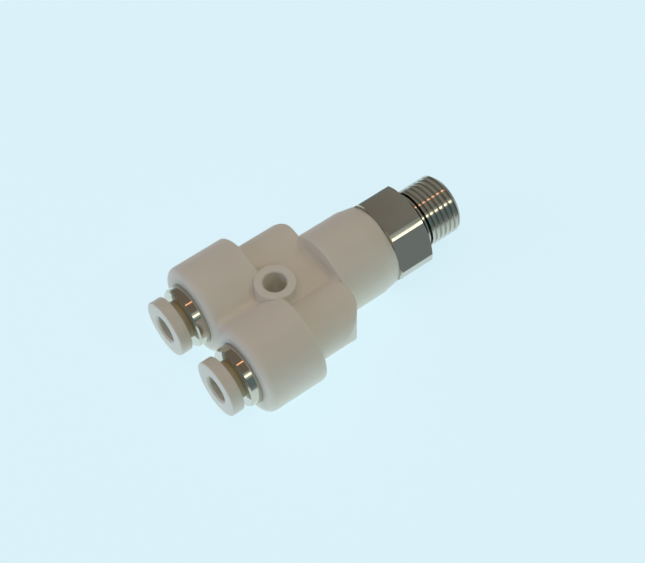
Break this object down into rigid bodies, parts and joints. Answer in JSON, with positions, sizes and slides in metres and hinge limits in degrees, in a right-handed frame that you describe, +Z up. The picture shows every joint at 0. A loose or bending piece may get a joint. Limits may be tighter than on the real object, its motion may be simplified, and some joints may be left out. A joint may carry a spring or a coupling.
{
  "type": "push-in male branch y fitting",
  "caption": "Push-in branch Y fitting for air tube: a male pipe stud with hexagon, a moulded resin body with a mounting hole, and two tube ports with release buttons.",
  "frame": {"origin": "centre of the hexagon's seat face, on the axis of the male thread", "axes": "+X out of the fitting along the male thread, away from the tube ports; +Z up along the mounting hole; +Y across the two tube ports"},
  "size_m": [0.0474, 0.0274, 0.0144],
  "materials": {
    "resin_body": "moulded off-white PBT, satin",
    "resin_button": "moulded off-white acetal, satin",
    "nickel_plated_brass": "turned, electroless nickel plated, bright",
    "collet_resin": "moulded natural acetal",
    "stainless_steel": "stamped spring stainless steel",
    "nitrile_rubber": "moulded black nitrile rubber"
  },
  "bodies": {
    "body": {"body": "resin_body", "guide_ring_1": "nickel_plated_brass", "guide_ring_2": "nickel_plated_brass", "tube_seal_1": "nitrile_rubber", "tube_seal_2": "nitrile_rubber"},
    "stud": {"stud": "nickel_plated_brass", "stud_o_ring": "nitrile_rubber"},
    "release_1": {"release_button_1": "resin_button", "collet_1": "collet_resin", "grip_ring_1": "stainless_steel"},
    "release_2": {"release_button_2": "resin_button", "collet_2": "collet_resin", "grip_ring_2": "stainless_steel"}
  },
  "joints": [
    {"name": "stud_swivel", "type": "hinge", "parent": "body", "child": "stud", "pos_m": [-0.006, 0, 0], "axis": [1, 0, 0], "continuous": true},
    {"name": "release_1_press", "type": "slide", "parent": "body", "child": "release_1", "axis": [1, 0, 0], "range_m": [0, 0.001], "stiffness_N_per_m": 200},
    {"name": "release_2_press", "type": "slide", "parent": "body", "child": "release_2", "axis": [1, 0, 0], "range_m": [0, 0.001], "stiffness_N_per_m": 200}
  ]
}
